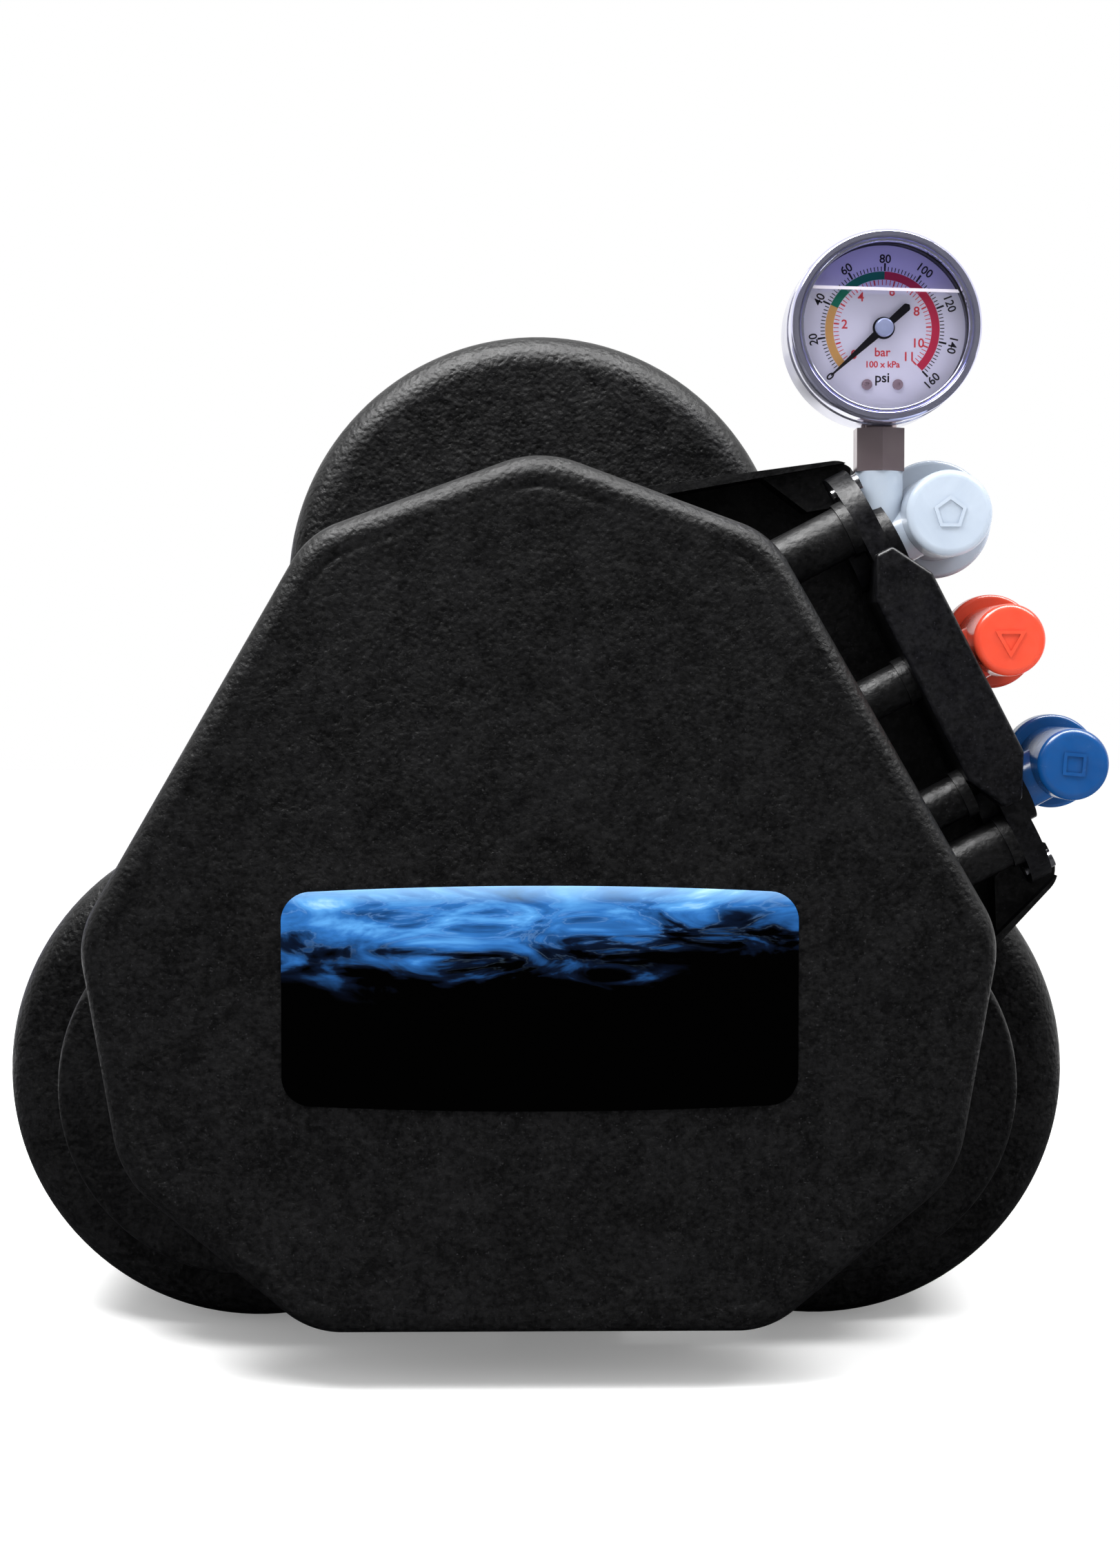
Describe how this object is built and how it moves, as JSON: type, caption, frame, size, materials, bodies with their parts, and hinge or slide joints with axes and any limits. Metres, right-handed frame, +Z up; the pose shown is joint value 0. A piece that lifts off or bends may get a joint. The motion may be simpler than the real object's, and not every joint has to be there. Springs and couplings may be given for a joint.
{
  "type": "reverse osmosis unit",
  "caption": "Compact reverse osmosis water filter: round canisters behind a triangular cover, side valve block with push-in tube ports and a dial pressure gauge.",
  "frame": {"origin": "on the flat underside of the base foot, on the canisters' plane of symmetry, half-way between the cover's front face and the canisters' rear ends", "axes": "+Z up, -Y out of the front cover, +X towards the valve block and gauge"},
  "size_m": [0.4129, 0.2414, 0.4096],
  "materials": {
    "cover_plastic": "fine grained moulded black, matt",
    "canister_plastic": "smooth moulded black, satin",
    "moulded_plastic": "moulded black, satin",
    "valve_plastic": "moulded black, satin",
    "label_print": "printed film, gloss",
    "seal_rubber": "moulded",
    "screw_steel": "stainless",
    "spring_steel": "drawn wire",
    "inner_plastic": "natural moulded",
    "membrane_wrap": "wound film",
    "carbon": "sintered block",
    "white_plastic": "gloss moulded",
    "orange_plastic": "gloss moulded",
    "blue_plastic": "gloss moulded",
    "gauge_steel": "polished",
    "gauge_chrome": "polished",
    "gauge_brass": "nickel-plated brass",
    "inner_brass": "plain",
    "gauge_glass": "clear",
    "dial_enamel": "printed white enamel",
    "needle_black": "black"
  },
  "bodies": {
    "frame": {"base_foot": "moulded_plastic", "body_screws": "screw_steel", "bourdon_tube": "inner_brass", "canister_head_left": "canister_plastic", "canister_head_right": "canister_plastic", "canister_head_top": "canister_plastic", "check_spring": "spring_steel", "dial_screws": "screw_steel", "flow_restrictor": "inner_plastic", "front_cover": "cover_plastic", "front_label": "label_print", "gauge_bezel": "gauge_chrome", "gauge_case": "gauge_steel", "gauge_dial": "dial_enamel", "gauge_lens": "gauge_glass", "gauge_movement": "inner_brass", "gauge_stem": "gauge_brass", "gauge_vent_plug": "seal_rubber", "inlet_seals": "seal_rubber", "inlet_tee": "white_plastic", "manifold_body": "moulded_plastic", "manifold_gasket": "seal_rubber", "manifold_lid": "moulded_plastic", "shutoff_diaphragm": "seal_rubber", "side_panel": "moulded_plastic", "small_screws": "screw_steel", "transfer_tube_drain": "moulded_plastic", "transfer_tube_feed": "moulded_plastic", "transfer_tube_inlet": "moulded_plastic", "transfer_tube_product": "moulded_plastic", "valve_cover": "valve_plastic", "valve_housing": "valve_plastic"},
    "element_top": {"carbon_block": "carbon", "carbon_core": "inner_plastic", "element_end_caps_top": "inner_plastic"},
    "sump_top": {"canister_sump_top": "canister_plastic", "sump_seal_top": "seal_rubber"},
    "element_left": {"membrane_left": "membrane_wrap", "brine_seal_left": "seal_rubber", "permeate_tube_left": "inner_plastic", "element_end_caps_left": "inner_plastic"},
    "sump_left": {"canister_sump_left": "canister_plastic", "sump_seal_left": "seal_rubber"},
    "element_right": {"membrane_right": "membrane_wrap", "brine_seal_right": "seal_rubber", "permeate_tube_right": "inner_plastic", "element_end_caps_right": "inner_plastic"},
    "sump_right": {"canister_sump_right": "canister_plastic", "sump_seal_right": "seal_rubber"},
    "drain_fitting": {"drain_elbow": "orange_plastic", "drain_seals": "seal_rubber"},
    "product_fitting": {"product_elbow": "blue_plastic", "product_seals": "seal_rubber"},
    "inlet_collar": {"inlet_collet": "white_plastic"},
    "drain_collar": {"drain_collet": "orange_plastic"},
    "product_collar": {"product_collet": "blue_plastic"},
    "piston": {"shutoff_piston": "inner_plastic"},
    "poppet": {"check_poppet": "inner_plastic"},
    "needle": {"gauge_needle": "needle_black"},
    "sector": {"sector_gear": "inner_brass"}
  },
  "joints": [
    {"name": "top_canister_slide", "type": "slide", "parent": "frame", "child": "element_top", "axis": [0, 1, 0], "range_m": [0, 0.018]},
    {"name": "top_canister_turn", "type": "hinge", "parent": "element_top", "child": "sump_top", "pos_m": [0, 0, 0.2835], "axis": [0, 1, 0], "range_deg": [0, 1080]},
    {"name": "left_canister_slide", "type": "slide", "parent": "frame", "child": "element_left", "axis": [0, 1, 0], "range_m": [0, 0.018]},
    {"name": "left_canister_turn", "type": "hinge", "parent": "element_left", "child": "sump_left", "pos_m": [-0.10739, 0, 0.0975], "axis": [0, 1, 0], "range_deg": [0, 1080]},
    {"name": "right_canister_slide", "type": "slide", "parent": "frame", "child": "element_right", "axis": [0, 1, 0], "range_m": [0, 0.018]},
    {"name": "right_canister_turn", "type": "hinge", "parent": "element_right", "child": "sump_right", "pos_m": [0.10739, 0, 0.0975], "axis": [0, 1, 0], "range_deg": [0, 1080]},
    {"name": "drain_elbow_swivel", "type": "hinge", "parent": "frame", "child": "drain_fitting", "pos_m": [0.15809, -0.0575, 0.25645], "axis": [0.887, 0, 0.4617], "range_deg": [-20, 20]},
    {"name": "product_elbow_swivel", "type": "hinge", "parent": "frame", "child": "product_fitting", "pos_m": [0.18141, -0.0575, 0.21166], "axis": [0.887, 0, 0.4617], "range_deg": [-20, 20]},
    {"name": "inlet_collet_press", "type": "slide", "parent": "frame", "child": "inlet_collar", "axis": [0, -1, 0], "range_m": [0, 0.0015], "stiffness_N_per_m": 400},
    {"name": "drain_collet_press", "type": "slide", "parent": "drain_fitting", "child": "drain_collar", "axis": [0, -1, 0], "range_m": [0, 0.0015], "stiffness_N_per_m": 400},
    {"name": "product_collet_press", "type": "slide", "parent": "product_fitting", "child": "product_collar", "axis": [0, -1, 0], "range_m": [0, 0.0015], "stiffness_N_per_m": 400},
    {"name": "shutoff_piston_travel", "type": "slide", "parent": "frame", "child": "piston", "axis": [0, 1, 0], "range_m": [0, 0.0025], "stiffness_N_per_m": 200},
    {"name": "check_poppet_travel", "type": "slide", "parent": "frame", "child": "poppet", "axis": [0, -1, 0], "range_m": [0, 0.002], "stiffness_N_per_m": 150, "deforming": ["check_spring"]},
    {"name": "gauge_needle_turn", "type": "hinge", "parent": "frame", "child": "needle", "pos_m": [0.1246, -0.069, 0.3749], "axis": [0, 1, 0], "range_deg": [0, 268], "stiffness_Nm_per_rad": 0.001},
    {"name": "sector_gear_turn", "type": "hinge", "parent": "frame", "child": "sector", "pos_m": [0.1366, -0.0597, 0.3739], "axis": [0, -1, 0], "range_deg": [0, 54]}
  ],
  "couplings": [
    {"joint": "top_canister_slide", "follows": "top_canister_turn", "m_per_rad": 0.00095},
    {"joint": "left_canister_slide", "follows": "left_canister_turn", "m_per_rad": 0.00095},
    {"joint": "right_canister_slide", "follows": "right_canister_turn", "m_per_rad": 0.00095},
    {"joint": "sector_gear_turn", "follows": "gauge_needle_turn", "ratio": 0.2}
  ]
}
